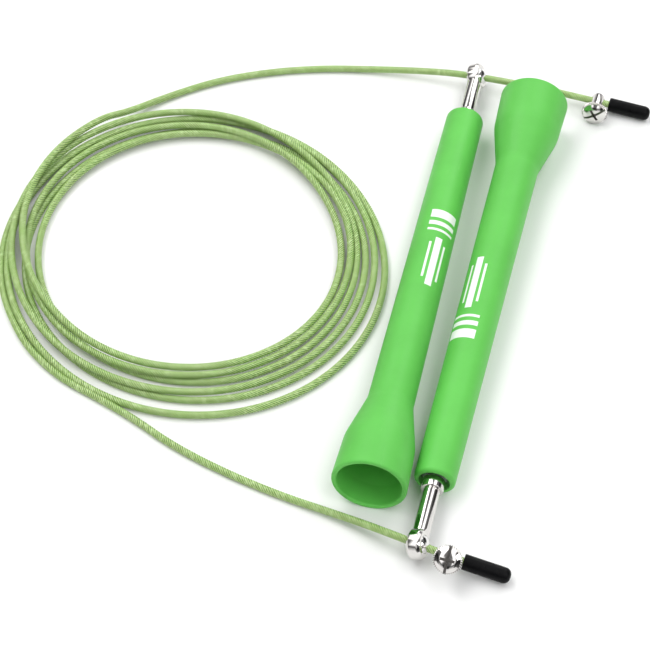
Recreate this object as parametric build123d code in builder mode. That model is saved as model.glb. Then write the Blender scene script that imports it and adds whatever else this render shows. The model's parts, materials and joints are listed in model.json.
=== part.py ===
"""Speed jump rope: two flared handles on ball bearings, and a coated steel cable in a loose coil.

Units are millimetres.  +Z is up and the rope lies on the plane Z = 0.  The handles lie side by
side along Y, head to tail, and the origin is on the floor in the middle of the pair.  Each half
of the rope is a side: side "a" has its open mouth towards -Y, and side "b" towards +Y.
"""
from build123d import *

import math
import os
from collections import namedtuple

os.makedirs("parts", exist_ok=True)

# ---------------------------------------------------------------- fits and clearances
PRESS_GAP = 0.01          # radial gap of a piece that is pressed on or in
RUNNING_GAP = 0.06        # radial gap of a piece that turns or slides
CABLE_GAP = 0.10          # radial gap round the cable in a hole that it threads through
FACE_GAP = 0.15           # gap between faces that turn past each other

# ---------------------------------------------------------------- handle
HANDLE_LENGTH = 165.0
NARROW_RADIUS = 6.6       # outside, at the bearing end
NECK_RADIUS = 7.5         # outside, where the flare starts
FLARE_RADIUS = 11.4       # outside, where the flare turns towards the mouth
MOUTH_RADIUS = 12.0       # outside, at the open mouth
FLARE_LENGTH = 16.5       # along the handle, from the neck to the widest turn
MOUTH_LENGTH = 16.0       # from there to the mouth
WALL = 1.7
MOUTH_BORE_DEPTH = 8.0    # straight part of the hollow, inside the mouth
NARROW_EDGE = 1.2         # rounding of the narrow end
SEAT_EDGE = 0.25          # lead-in of the bearing seat
RIM_EDGE = 0.45           # rounding of the mouth's rim
NECK_BLEND = 14.0         # rounding where the flare starts
FLARE_BLEND = 18.0        # rounding at the flare's widest turn

# ---------------------------------------------------------------- ball bearing
BEARING_BORE = 3.0
BEARING_OUTSIDE = 10.0
BEARING_WIDTH = 4.0
BEARING_RECESS = 2.2      # how deep the bearing sits in the narrow end
BALL_DIAMETER = 1.588
BALL_COUNT = 7
RACE_LAND = 0.7           # from the balls' pitch circle to the land of each race
GROOVE_GAP = 0.02
POCKET_GAP = 0.03
SHIELD_THICKNESS = 0.2
SHIELD_INSET = 0.1
RACE_EDGE = 0.15
CAGE_THICKNESS = 0.9
CAGE_WIDTH = 2.0
SEAT_STEP = 0.9           # height of the step in the handle behind the outer race
SEAT_STEP_WIDTH = 1.5

# ---------------------------------------------------------------- stem, eye and swivel ball
STEM_RADIUS = 2.8
STEM_REACH = 23.0         # from the handle's narrow end to the middle of the ball
COLLAR_RADIUS = 3.6
COLLAR_OUT = 3.2          # how far the collar stands out of the handle
COLLAR_IN = 0.6           # how far it reaches in
COLLAR_EDGE = 0.35
BOSS_RADIUS = 2.3         # step that bears on the inner race
THREAD_LENGTH = 3.6
THREAD_EDGE = 0.2
WASHER_THICKNESS = 0.5
WASHER_RADIUS = 2.4
NUT_ACROSS_FLATS = 5.5
NUT_THICKNESS = 2.4
NUT_EDGE = 0.25
EYE_WALL = 1.2            # metal round the ball, at the middle of the ring
EYE_THICKNESS_RATIO = 1.28   # of the ball's radius
EYE_ROUNDING = 1.3
EYE_TWIST_A = 24.0        # degrees from level that each eye's bore lies at
EYE_TWIST_B = -20.0
NECK_TAPER = 1.8          # length over which the stem thins to the eye
NECK_THINNING = 0.7       # of the stem's radius, at the eye
SWIVEL_RADIUS = 3.6

# ---------------------------------------------------------------- cable, clamps and end caps
CABLE_DIAMETER = 2.5
BARREL_RADIUS = 2.35
BARREL_BELOW = 2.3        # barrel below the middle of the cable
BARREL_ABOVE = 6.2        # barrel above it, on the screw's side
BARREL_EDGE = 0.4
SCREW_RADIUS = 1.25
SCREW_TIP_EDGE = 0.2
HEAD_RADIUS = 4.6
HEAD_RIM = 1.3            # height of the knurled rim
HEAD_DOME = 1.2           # height of the dome over it
HEAD_EDGE = 0.3
DOME_SHOULDER = 0.6       # of the head's radius: where the dome's flank meets its top
DOME_BLEND = 0.8          # of the head's radius: rounding of that shoulder
SLOT_WIDTH = 0.9
SLOT_DEPTH = 0.9
CROSS_LENGTH = 4.6
CAP_RADIUS = 2.5
CAP_LENGTH = 15.0
CAP_GRIP = 9.0            # length of cable inside the cap
CAP_END_GAP = 0.5
CAP_TIP_ROUNDING = 2.1
CAP_RIM_EDGE = 0.2

# ---------------------------------------------------------------- coil
COIL_CENTRE = (-90.4, -1.0)
COIL_START_ANGLE = 135.0
COIL_POINTS_PER_TURN = 24
COIL_OUTLINE_POINTS = 16
COIL_HEIGHT = 8.4
COIL_EDGE = 1.5
# How far each turn lies from the coil's centre as it passes the four diagonals: 45, 135, 225 and
# 315 degrees.  The loose turns differ, cross each other and fan out towards the handles.
COIL_TURNS = (
    (68.5, 54.2, 51.5),
    (50.6, 60.7, 55.9, 53.6),
    (53.6, 56.2, 53.4, 56.5),
    (55.9, 66.1, 61.0, 60.5),
    (57.5, 58.3, 59.0, 64.1),
    (60.3, 63.6, 65.0, 69.8),
    (62.4, 65.4, 67.0),
)

# ---------------------------------------------------------------- free tails of the cable
# Points of each tail from the coil up to its handle: X, Y and the cable's lift off the floor.
TAIL_A = (
    (-138.6, 46.4, 2.95),
    (-132.0, 56.2, 1.65),
    (-121.0, 68.4, 0.05),
    (-105.5, 80.7, 0),
    (-88.0, 89.6, 0),
    (-70.0, 95.9, 0),
    (-52.0, 99.6, 0.25),
    (-36.0, 101.0, 1.95),
)
TAIL_B = (
    (-137.3, -48.9, 0.15),
    (-129.5, -56.0, 0.1),
    (-118.0, -63.0, 0.05),
    (-104.0, -67.6, 0.05),
    (-90.0, -73.0, 0),
    (-76.0, -79.8, 0),
    (-58.0, -85.7, 0),
    (-38.0, -90.3, 0),
    (-21.0, -93.2, 0.85),
    (-9.5, -96.2, 2.95),
)
# Points from the middle of the swivel ball: the run through the ball, the way to the corner past
# the clamp, and last the point that the end cap aims at.
FREE_END_A = (
    (-8.0, 0.05, -0.1),
    (8.0, -0.05, 0.1),
    (22.0, 0.45, -0.75),
    (36.0, 0.3, -1.7),
    (47.65, -0.08, -2.44),
    (62.5, -0.93, -3.14),
)
FREE_END_B = (
    (-7.39, 1.02, 0.71),
    (13.41, -1.86, -1.28),
    (29.4, -2.96, -3.2),
)
CLAMP_BEFORE_CORNER = 3.0   # middle of the clamp to the corner before the end cap
CAP_AFTER_CORNER = 1.2      # open end of the cap beyond that corner

# ---------------------------------------------------------------- derived sizes
CABLE_RADIUS = CABLE_DIAMETER / 2
NECK_FROM_END = HANDLE_LENGTH - MOUTH_LENGTH - FLARE_LENGTH
FLARE_FROM_END = HANDLE_LENGTH - MOUTH_LENGTH
MOUTH_BORE = MOUTH_RADIUS - WALL
HANDLE_TILT = math.asin((MOUTH_RADIUS - NARROW_RADIUS) / HANDLE_LENGTH)
BALL_RADIUS = BALL_DIAMETER / 2
PITCH_RADIUS = (BEARING_BORE + BEARING_OUTSIDE) / 4
INNER_LAND = PITCH_RADIUS - RACE_LAND
OUTER_LAND = PITCH_RADIUS + RACE_LAND
BEARING_MIDDLE = BEARING_RECESS + BEARING_WIDTH / 2
BEARING_BACK = BEARING_RECESS + BEARING_WIDTH
SEAT_RADIUS = BEARING_OUTSIDE / 2 + PRESS_GAP
JOURNAL_RADIUS = BEARING_BORE / 2 - PRESS_GAP
SWIVEL_SEAT = SWIVEL_RADIUS + RUNNING_GAP
EYE_RADIUS = SWIVEL_RADIUS + EYE_WALL
EYE_THICKNESS = SWIVEL_RADIUS * EYE_THICKNESS_RATIO
CABLE_HOLE = CABLE_RADIUS + CABLE_GAP


# ---------------------------------------------------------------- planes
def handle_plane(x, y, yaw, towards):
    """Narrow end's centre, Z along the handle, which lies on both its ends; X is level."""
    lean = math.radians(yaw)
    level = math.cos(HANDLE_TILT)
    along = Vector(math.sin(lean) * level, towards * math.cos(lean) * level, math.sin(HANDLE_TILT))
    across = Vector(0, 0, 1).cross(along).normalized()
    return Plane(origin=(x, y, NARROW_RADIUS / level), x_dir=across, z_dir=along)


def clamp_plane(tail, head_angle):
    """Middle of the clamp, X along the cable, Z out of the screw's head at head_angle above level."""
    before, corner = tail[-3], tail[-2]
    cable = (corner - before).normalized()
    level = cable.cross(Vector(0, 0, 1)).normalized()
    upright = level.cross(cable)
    lift = math.radians(head_angle)
    head = level * math.cos(lift) + upright * math.sin(lift)
    return Plane(origin=corner - cable * CLAMP_BEFORE_CORNER, x_dir=cable, z_dir=head)


def cap_plane(tail):
    """Open end of the cap, Z towards its tip."""
    corner, end = tail[-2], tail[-1]
    along = (end - corner).normalized()
    return Plane(origin=corner + along * CAP_AFTER_CORNER, z_dir=along)


def eye_plane(handle, ball, twist):
    """Middle of the ball, Z along the eye's bore, which is rocked about the stem by twist."""
    turn = math.radians(twist)
    bore = handle.x_dir * math.cos(turn) + handle.y_dir * math.sin(turn)
    return Plane(origin=ball, x_dir=handle.z_dir, z_dir=bore)


def turning_plane(plane):
    """Sketch plane for turned pieces: X is the radius, and Y runs along the plane's Z."""
    return Plane(origin=plane.origin, x_dir=plane.x_dir, z_dir=-plane.y_dir)


def axis_of(plane):
    return Axis(plane.origin, plane.z_dir)


# ---------------------------------------------------------------- sides
Side = namedtuple("Side", "tag handle ball swing eye clamp cap tail")


def tail_route(tail, free_end, ball):
    """Points of a whole tail; the last run ends where the cable is cut, inside the end cap."""
    route = [Vector(x, y, CABLE_RADIUS + lift) for x, y, lift in tail]
    route += [ball + Vector(*offset) for offset in free_end]
    corner = route[-2]
    aim = (route[-1] - corner).normalized()
    route[-1] = corner + aim * (CAP_AFTER_CORNER + CAP_GRIP)
    return route


def make_side(tag, handle, twist, tail, free_end, head_angle):
    """Gather the planes and the cable route of one side."""
    ball = handle.origin - handle.z_dir * STEM_REACH
    route = tail_route(tail, free_end, ball)
    threads_ball = len(tail)
    swing = Plane(origin=ball, z_dir=(route[threads_ball + 1] - route[threads_ball]).normalized())
    eye = eye_plane(handle, ball, twist)
    clamp = clamp_plane(route, head_angle)
    return Side(tag, handle, ball, swing, eye, clamp, cap_plane(route), route)


HANDLE_A = handle_plane(-12.7, 77.6, 0.86, -1)
HANDLE_B = handle_plane(8.45, -77.6, 0.62, 1)
SIDES = (
    make_side("a", HANDLE_A, EYE_TWIST_A, TAIL_A, FREE_END_A, 9.3),
    make_side("b", HANDLE_B, EYE_TWIST_B, TAIL_B, FREE_END_B, 50.0),
)


# ---------------------------------------------------------------- helpers
def places(corners):
    """Corner points from (radius, place along the axis, rounding) rows."""
    return [(radius, place) for radius, place, _ in corners]


def round_corners(sketch, corners):
    for radius, place, rounding in corners:
        if rounding:
            fillet(sketch.vertices().sort_by_distance((radius, place, 0))[0], rounding)


def save(part, name):
    """Label a finished piece and write its STEP file."""
    part.label = name
    export_step(part, f"parts/{name}.step")


# ---------------------------------------------------------------- handle
def build_handle(side):
    """Moulded handle: hollow from the open mouth down to the seat of the bearing."""
    step_back = BEARING_BACK + SEAT_STEP_WIDTH
    hollow_start = step_back + SEAT_STEP
    shell = (
        (SEAT_RADIUS, 0, SEAT_EDGE),
        (NARROW_RADIUS, 0, NARROW_EDGE),
        (NECK_RADIUS, NECK_FROM_END, NECK_BLEND),
        (FLARE_RADIUS, FLARE_FROM_END, FLARE_BLEND),
        (MOUTH_RADIUS, HANDLE_LENGTH, RIM_EDGE),
        (MOUTH_BORE, HANDLE_LENGTH, RIM_EDGE),
        (MOUTH_BORE, HANDLE_LENGTH - MOUTH_BORE_DEPTH, MOUTH_BORE_DEPTH / 2),
        (NECK_RADIUS - WALL, NECK_FROM_END - WALL, NECK_BLEND),
        (NARROW_RADIUS - WALL, hollow_start, 0),
        (SEAT_RADIUS - SEAT_STEP, step_back, 0),
        (SEAT_RADIUS - SEAT_STEP, BEARING_BACK, 0),
        (SEAT_RADIUS, BEARING_BACK, 0),
    )
    with BuildPart() as handle:
        with BuildSketch(turning_plane(side.handle)) as outline:
            with BuildLine():
                Polyline(*places(shell), close=True)
            make_face()
            round_corners(outline, shell)
        revolve(axis=axis_of(side.handle))
    save(handle.part, f"handle_{side.tag}")


# ---------------------------------------------------------------- bearing
def build_race(side, name, inside, outside):
    """One race: a ring from inside to outside, with the balls' groove turned into its land."""
    with BuildPart() as race:
        with BuildSketch(turning_plane(side.handle)):
            with Locations(((inside + outside) / 2, BEARING_MIDDLE)):
                RectangleRounded(outside - inside, BEARING_WIDTH, RACE_EDGE)
            with Locations((PITCH_RADIUS, BEARING_MIDDLE)):
                Circle(BALL_RADIUS + GROOVE_GAP, mode=Mode.SUBTRACT)
        revolve(axis=axis_of(side.handle))
    save(race.part, f"{name}_{side.tag}")


def build_bearing_balls(side):
    with BuildPart() as balls:
        with Locations(side.handle.offset(BEARING_MIDDLE)):
            with PolarLocations(PITCH_RADIUS, BALL_COUNT):
                Sphere(BALL_RADIUS)
    save(balls.part, f"bearing_balls_{side.tag}")


def build_bearing_cage(side):
    """Ring that spaces the balls, with a pocket round each."""
    pocket = BALL_RADIUS + POCKET_GAP
    with BuildPart() as cage:
        with BuildSketch(side.handle.offset(BEARING_MIDDLE - CAGE_WIDTH / 2)):
            Circle(PITCH_RADIUS + CAGE_THICKNESS / 2)
            Circle(PITCH_RADIUS - CAGE_THICKNESS / 2, mode=Mode.SUBTRACT)
        extrude(amount=CAGE_WIDTH)
        with Locations(side.handle.offset(BEARING_MIDDLE)):
            with PolarLocations(PITCH_RADIUS, BALL_COUNT):
                Cylinder(pocket, 2 * CAGE_THICKNESS, rotation=(0, 90, 0), mode=Mode.SUBTRACT)
    save(cage.part, f"bearing_cage_{side.tag}")


def build_shield(side, name, start):
    """Thin disc that closes one face of the bearing; it is fixed in the outer race."""
    with BuildPart() as shield:
        with BuildSketch(side.handle.offset(start)):
            Circle(OUTER_LAND)
            Circle(INNER_LAND + FACE_GAP, mode=Mode.SUBTRACT)
        extrude(amount=SHIELD_THICKNESS)
    save(shield.part, f"{name}_{side.tag}")


# ---------------------------------------------------------------- stem
def build_stem(side):
    """Steel stem: eye with a round seat, shank, collar, bearing journal and threaded end."""
    shank_start = -STEM_REACH + (EYE_RADIUS + SWIVEL_SEAT) / 2
    shank = (
        (0, shank_start, 0),
        (STEM_RADIUS * NECK_THINNING, shank_start, 0),
        (STEM_RADIUS, shank_start + NECK_TAPER, 0),
        (STEM_RADIUS, -COLLAR_OUT, 0),
        (COLLAR_RADIUS, -COLLAR_OUT, COLLAR_EDGE),
        (COLLAR_RADIUS, COLLAR_IN, COLLAR_EDGE),
        (BOSS_RADIUS, COLLAR_IN, 0),
        (BOSS_RADIUS, BEARING_RECESS, 0),
        (JOURNAL_RADIUS, BEARING_RECESS, 0),
        (JOURNAL_RADIUS, BEARING_BACK + THREAD_LENGTH, THREAD_EDGE),
        (0, BEARING_BACK + THREAD_LENGTH, 0),
    )
    ring = (
        (SWIVEL_SEAT / 2, -EYE_THICKNESS / 2, 0),
        (EYE_RADIUS, -EYE_THICKNESS / 2, EYE_ROUNDING),
        (EYE_RADIUS, EYE_THICKNESS / 2, EYE_ROUNDING),
        (SWIVEL_SEAT / 2, EYE_THICKNESS / 2, 0),
    )
    with BuildPart() as stem:
        with BuildSketch(turning_plane(side.handle)) as outline:
            with BuildLine():
                Polyline(*places(shank), close=True)
            make_face()
            round_corners(outline, shank)
        revolve(axis=axis_of(side.handle))
        with BuildSketch(turning_plane(side.eye)) as outline:
            with BuildLine():
                Polyline(*places(ring), close=True)
            make_face()
            round_corners(outline, ring)
            Circle(SWIVEL_SEAT, mode=Mode.SUBTRACT)
        revolve(axis=axis_of(side.eye))
    save(stem.part, f"stem_{side.tag}")


def build_swivel_ball(side):
    """Ball held in the eye, bored for the cable."""
    with BuildPart() as swivel:
        with BuildSketch(turning_plane(side.swing)):
            Circle(SWIVEL_RADIUS)
            with Locations(((CABLE_HOLE - SWIVEL_RADIUS) / 2, 0)):
                Rectangle(CABLE_HOLE + SWIVEL_RADIUS, 2 * SWIVEL_RADIUS, mode=Mode.SUBTRACT)
        revolve(axis=axis_of(side.swing))
    save(swivel.part, f"swivel_ball_{side.tag}")


def build_washer(side):
    with BuildPart() as washer:
        with BuildSketch(side.handle.offset(BEARING_BACK)):
            Circle(WASHER_RADIUS)
            Circle(BEARING_BORE / 2 + RUNNING_GAP, mode=Mode.SUBTRACT)
        extrude(amount=WASHER_THICKNESS)
    save(washer.part, f"washer_{side.tag}")


def build_nut(side):
    with BuildPart() as nut:
        with BuildSketch(side.handle.offset(BEARING_BACK + WASHER_THICKNESS)):
            RegularPolygon(NUT_ACROSS_FLATS / 2, 6, major_radius=False)
            Circle(BEARING_BORE / 2, mode=Mode.SUBTRACT)
        extrude(amount=NUT_THICKNESS)
        chamfer(nut.edges().filter_by(GeomType.LINE).group_by(SortBy.LENGTH)[-1], NUT_EDGE)
    save(nut.part, f"nut_{side.tag}")


# ---------------------------------------------------------------- clamp and end cap
def build_clamp_barrel(side):
    """Barrel that the cable threads crosswise and the screw enters from the top."""
    with BuildPart() as barrel:
        with BuildSketch(side.clamp.offset(-BARREL_BELOW)):
            Circle(BARREL_RADIUS)
        extrude(amount=BARREL_BELOW + BARREL_ABOVE)
        fillet(barrel.edges().filter_by(GeomType.CIRCLE), BARREL_EDGE)
        with BuildSketch(side.clamp):
            Circle(SCREW_RADIUS + RUNNING_GAP)
        extrude(amount=BARREL_ABOVE, mode=Mode.SUBTRACT)
        with BuildSketch(Plane(origin=side.clamp.origin, z_dir=side.clamp.x_dir)):
            Circle(CABLE_HOLE)
        extrude(amount=BARREL_RADIUS, both=True, mode=Mode.SUBTRACT)
    save(barrel.part, f"clamp_barrel_{side.tag}")


def build_clamp_screw(side):
    """Screw whose shank bears on the cable; its domed head has a slot and a cross."""
    under_head = BARREL_ABOVE + FACE_GAP
    rim_top = under_head + HEAD_RIM
    top = rim_top + HEAD_DOME
    head = (
        (0, CABLE_HOLE, 0),
        (SCREW_RADIUS, CABLE_HOLE, SCREW_TIP_EDGE),
        (SCREW_RADIUS, under_head, 0),
        (HEAD_RADIUS, under_head, HEAD_EDGE),
        (HEAD_RADIUS, rim_top, HEAD_EDGE),
        (HEAD_RADIUS * DOME_SHOULDER, top - HEAD_DOME / 6, HEAD_RADIUS * DOME_BLEND),
        (0, top, 0),
    )
    with BuildPart() as screw:
        with BuildSketch(turning_plane(side.clamp)) as outline:
            with BuildLine():
                Polyline(*places(head), close=True)
            make_face()
            round_corners(outline, head)
        revolve(axis=axis_of(side.clamp))
        with BuildSketch(side.clamp.offset(top)):
            Rectangle(2.2 * HEAD_RADIUS, SLOT_WIDTH)
            Rectangle(SLOT_WIDTH, CROSS_LENGTH)
        extrude(amount=-SLOT_DEPTH, mode=Mode.SUBTRACT)
    save(screw.part, f"clamp_screw_{side.tag}")


def build_end_cap(side):
    """Soft cap over the cut end of the cable."""
    tip = (
        (0, 0, 0),
        (CAP_RADIUS, 0, CAP_RIM_EDGE),
        (CAP_RADIUS, CAP_LENGTH, CAP_TIP_ROUNDING),
        (0, CAP_LENGTH, 0),
    )
    with BuildPart() as cap:
        with BuildSketch(turning_plane(side.cap)) as outline:
            with BuildLine():
                Polyline(*places(tip), close=True)
            make_face()
            round_corners(outline, tip)
        revolve(axis=axis_of(side.cap))
        with BuildSketch(side.cap):
            Circle(CABLE_HOLE)
        extrude(amount=CAP_GRIP + CAP_END_GAP, mode=Mode.SUBTRACT)
    save(cap.part, f"end_cap_{side.tag}")


# ---------------------------------------------------------------- cable
def corner_radii(points):
    """Radius at each inner point: 0.45 of the shorter run over the tangent of half the turn."""
    radii = []
    for before, here, after in zip(points, points[1:], points[2:]):
        run_in = here - before
        run_out = after - here
        half_turn = math.radians(run_in.get_angle(run_out)) / 2
        radii.append(0.45 * min(run_in.length, run_out.length) / math.tan(half_turn))
    return radii


def build_cable_tail(side):
    """Free tail of the cable, from the coil through the ball and the clamp into the end cap."""
    radii = corner_radii(side.tail)
    with BuildPart() as tail:
        with BuildLine():
            route = FilletPolyline(*side.tail, radius=radii)
        with BuildSketch(Plane(origin=route @ 0, z_dir=route % 0)):
            Circle(CABLE_RADIUS)
        sweep(path=route)
    length = route.length
    expected = math.pi * CABLE_RADIUS ** 2 * length
    print(f"cable_tail_{side.tag}: length {length:.1f} mm, volume / expected {tail.part.volume / expected:.4f}")
    print("  radii", [round(radius, 1) for radius in radii])
    save(tail.part, f"cable_tail_{side.tag}")
    return length


def coil_radius(quarter):
    """Distance from the coil's centre after a number of quarter turns, smooth between diagonals."""
    radii = [radius for turn in COIL_TURNS for radius in turn]
    last = len(radii) - 1
    step = min(int(quarter), last - 1)
    part = quarter - step
    before, here, there, beyond = (radii[max(0, min(last, step + shift))] for shift in (-1, 0, 1, 2))
    slope_here, slope_there = (there - before) / 2, (beyond - here) / 2
    rise = there - here
    return (
        here
        + slope_here * part
        + (3 * rise - 2 * slope_here - slope_there) * part ** 2
        + (slope_here + slope_there - 2 * rise) * part ** 3
    )


def coil_point(quarter, radius):
    angle = math.radians(COIL_START_ANGLE + 90 * quarter)
    return (COIL_CENTRE[0] + radius * math.cos(angle), COIL_CENTRE[1] + radius * math.sin(angle))


def coil_length():
    """Length of cable wound in the coil."""
    quarters = sum(len(turn) for turn in COIL_TURNS) - 1
    steps = quarters * COIL_POINTS_PER_TURN // 4
    stations = [quarters * number / steps for number in range(steps + 1)]
    points = [coil_point(station, coil_radius(station)) for station in stations]
    return sum(math.dist(here, there) for here, there in zip(points, points[1:]))


def coil_outline(pick, margin):
    """Points of the coil's outer or inner outline: the furthest or nearest turn at each angle."""
    quarters = sum(len(turn) for turn in COIL_TURNS) - 1
    outline = []
    for number in range(COIL_OUTLINE_POINTS):
        first = 4 * number / COIL_OUTLINE_POINTS
        passes = [first + 4 * turn for turn in range(len(COIL_TURNS)) if first + 4 * turn <= quarters]
        radius = pick(coil_radius(quarter) for quarter in passes) + margin
        outline.append(coil_point(first, radius))
    return outline


def build_cable_coil():
    """Solid of the coil's outer shape, which holds all its turns."""
    with BuildPart() as coil:
        with BuildSketch():
            with BuildLine():
                Spline(*coil_outline(max, CABLE_RADIUS), periodic=True)
            make_face()
            with BuildLine():
                Spline(*coil_outline(min, -CABLE_RADIUS), periodic=True)
            make_face(mode=Mode.SUBTRACT)
        extrude(amount=COIL_HEIGHT)
        chamfer(coil.edges().group_by(Axis.Z)[-1], COIL_EDGE)
    save(coil.part, "cable_coil")


# ---------------------------------------------------------------- the whole rope
total = coil_length()
build_cable_coil()
for side in SIDES:
    build_handle(side)
    build_race(side, "bearing_outer_race", OUTER_LAND, BEARING_OUTSIDE / 2)
    build_race(side, "bearing_inner_race", BEARING_BORE / 2, INNER_LAND)
    build_bearing_balls(side)
    build_bearing_cage(side)
    build_shield(side, "bearing_front_shield", BEARING_RECESS + SHIELD_INSET)
    build_shield(side, "bearing_back_shield", BEARING_BACK - SHIELD_INSET - SHIELD_THICKNESS)
    build_stem(side)
    build_swivel_ball(side)
    build_washer(side)
    build_nut(side)
    build_clamp_barrel(side)
    build_clamp_screw(side)
    build_end_cap(side)
    total += build_cable_tail(side)
print(f"cable length {total:.0f} mm")
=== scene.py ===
"""Speed jump rope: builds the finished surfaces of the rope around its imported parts.

Laid out as an add-on: a property group each for the handles, the cable, the fittings and the stage,
one operator for each group of like pieces, and one for the stage.  The scene is in metres; sizes of
the rope are typed in millimetres and multiplied by MM.
"""

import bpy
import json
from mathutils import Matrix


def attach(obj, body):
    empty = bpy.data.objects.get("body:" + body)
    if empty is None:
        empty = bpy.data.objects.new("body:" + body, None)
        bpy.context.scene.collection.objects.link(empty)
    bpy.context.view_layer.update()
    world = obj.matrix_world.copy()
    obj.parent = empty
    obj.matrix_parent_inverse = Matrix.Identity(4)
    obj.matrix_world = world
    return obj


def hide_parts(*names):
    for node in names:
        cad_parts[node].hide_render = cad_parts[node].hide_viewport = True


bl_info = {
    "name": "Speed Jump Rope",
    "version": (1, 0, 0),
    "blender": (4, 5, 0),
    "location": "View3D > Sidebar > Jump Rope",
    "description": "Builds a speed jump rope with flared handles, swivel balls and a coiled cable",
    "category": "Add Mesh",
}

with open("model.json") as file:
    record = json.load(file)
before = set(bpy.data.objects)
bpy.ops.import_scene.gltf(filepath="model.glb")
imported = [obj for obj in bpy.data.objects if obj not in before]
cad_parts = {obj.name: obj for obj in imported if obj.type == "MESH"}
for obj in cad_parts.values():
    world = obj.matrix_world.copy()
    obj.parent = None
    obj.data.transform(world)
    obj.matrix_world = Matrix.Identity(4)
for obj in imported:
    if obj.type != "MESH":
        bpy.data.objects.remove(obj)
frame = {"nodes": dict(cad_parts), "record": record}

import json
import math

import bmesh
import bpy
import numpy as np
from mathutils import Matrix, Vector

MM = 0.001
SIDES = ("a", "b")
JOINTS = {joint["name"]: joint for joint in frame["record"]["behaviour"]["joints"]}
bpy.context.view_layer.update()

# Outlines list the radius, the place along the axis and the rounding of each corner, in millimetres.
# Handle, along from its narrow end.
HANDLE_LENGTH = 165.0
MOUTH_BORE = 10.3
HANDLE_OUTSIDE = (
    (5.01, 0.0, 0.25),
    (6.6, 0.0, 1.2),
    (7.5, 132.5, 14.0),
    (11.4, 149.0, 18.0),
    (12.0, HANDLE_LENGTH, 0.7),
)
HANDLE_INSIDE = (
    (MOUTH_BORE, HANDLE_LENGTH, 0.7),
    (MOUTH_BORE, 157.0, 4.0),
    (5.8, 130.8, 14.0),
    (4.9, 8.6, 0.0),
    (4.11, 7.7, 0.0),
    (4.11, 6.2, 0.0),
    (5.01, 6.2, 0.0),
)
LONG_SIDE = 8.0               # a longer straight side of the outline is cut up
SHORT_SIDE = 6.0              # about the length that it is cut into

# Printed marks: start and end along the handle, and start and end round it, in millimetres.
MARKS = (
    (52.0, 55.6, -4.8, 4.8),
    (57.2, 59.0, -4.8, 4.8),
    (60.6, 61.6, -4.8, 4.8),
    (64.5, 86.0, -1.2, 1.2),
    (67.0, 83.0, 2.2, 3.0),
    (67.0, 83.0, -3.0, -2.2),
)
MARK_TURN = {"a": 68.0, "b": 62.0}    # degrees from level up to the middle of the marks
MARK_LIFTS = (0.035, -0.02)   # top and underside of the printed film, off the handle's surface
MARK_ROWS = 8
MARK_COLUMNS = 12

# Stem, along from the handle's narrow end: shank, collar, shoulder and bearing journal.
STEM_OUTLINE = (
    (0, -19.2, 0),
    (2.8, -19.2, 0),
    (2.8, -3.9, 0.15),
    (2.55, -3.7, 0.1),
    (2.55, -3.4, 0.1),
    (3.6, -3.2, 0.3),
    (3.6, 0.6, 0.35),
    (2.3, 0.6, 0),
    (2.3, 2.2, 0),
    (1.49, 2.2, 0),
    (1.49, 9.8, 0.2),
    (0, 9.8, 0),
)
# Eye, along its bore from the middle of its ball.
EYE_HALF_THICKNESS = 2.3
EYE_OUTLINE = (
    (2.82, -EYE_HALF_THICKNESS, 0),
    (4.05, -EYE_HALF_THICKNESS, 0.25),
    (4.8, -1.35, 0.6),
    (4.8, 1.35, 0.6),
    (4.05, EYE_HALF_THICKNESS, 0.25),
    (2.82, EYE_HALF_THICKNESS, 0),
)
SEAT_RINGS = 25
# The shank is ground down to the eye's thickness on both sides, in a slope.
GRIND_SIZE = (16, 12, 6)
GRIND_FROM = 4.6              # from the middle of the ball to the slope's foot, at the eye's face
GRIND_SHIFT = 4.0             # the cutter's middle, up the slope from its foot
GRIND_SLOPE = math.radians(16)

SWIVEL_RADIUS = 3.6
SWIVEL_SEAT = 3.66
CABLE_HOLE = 1.35

# Clamp, along from the middle of the cable: barrel and screw.
BARREL_OUTLINE = (
    (0, -2.3, 0),
    (2.35, -2.3, 0.4),
    (2.35, 6.2, 0.35),
    (1.31, 6.2, 0),
    (1.31, 0.6, 0),
    (0, 0.6, 0),
)
SCREW_OUTLINE = (
    (0, 1.35, 0),
    (1.25, 1.35, 0.2),
    (1.25, 6.35, 0),
    (4.4, 6.35, 0.15),
    (4.6, 6.55, 0.15),
    (4.6, 7.45, 0.15),
    (4.25, 7.65, 0.1),
    (4.0, 7.7, 0.2),
    (2.6, 8.6, 3.5),
    (0, 8.85, 0),
)
SCREW_TURN = {"a": math.radians(40), "b": math.radians(96)}
KNURL_ROOT = 4.0              # radius at which the knurl starts
KNURL_RISE = 0.25             # from there to its full depth
KNURL_DEPTH = 0.5
# Cutters in the head of the screw: size, height of the middle, and turn in degrees.
SCREW_SLOTS = (
    ((10, 0.85, 1.7), 8.25, 0),
    ((0.85, 4.6, 2.1), 8.15, 0),
    ((1.7, 1.7, 2.3), 8.2, 45),
)
SLOT_HALF_WIDTH = 0.44        # these three lie just outside the cutters' walls
CROSS_HALF_LENGTH = 2.35
MIDDLE_REACH = 1.25
SLOT_FLOOR = 7.0              # below every slot's floor
DOME_TOP = 8.7                # just below the dome, which falls by DOME_FALL x radius squared
DOME_FALL = 0.07

# End cap, along from its open end.
CAP_OUTLINE = (
    (CABLE_HOLE, 0.15, 0),
    (1.5, 0, 0.1),
    (2.5, 0, 0.3),
    (2.5, 15.0, 2.05),
    (0, 15.0, 0),
)
CAP_HOLE_OUTLINE = (
    (CABLE_HOLE, 0.15),
    (CABLE_HOLE, 5),
    (CABLE_HOLE, 9.5),
    (0, 9.5),
)
CAP_SKIN = 1.6                # only the outside, beyond this radius, is out of round
CAP_UNEVEN = 0.05

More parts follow.
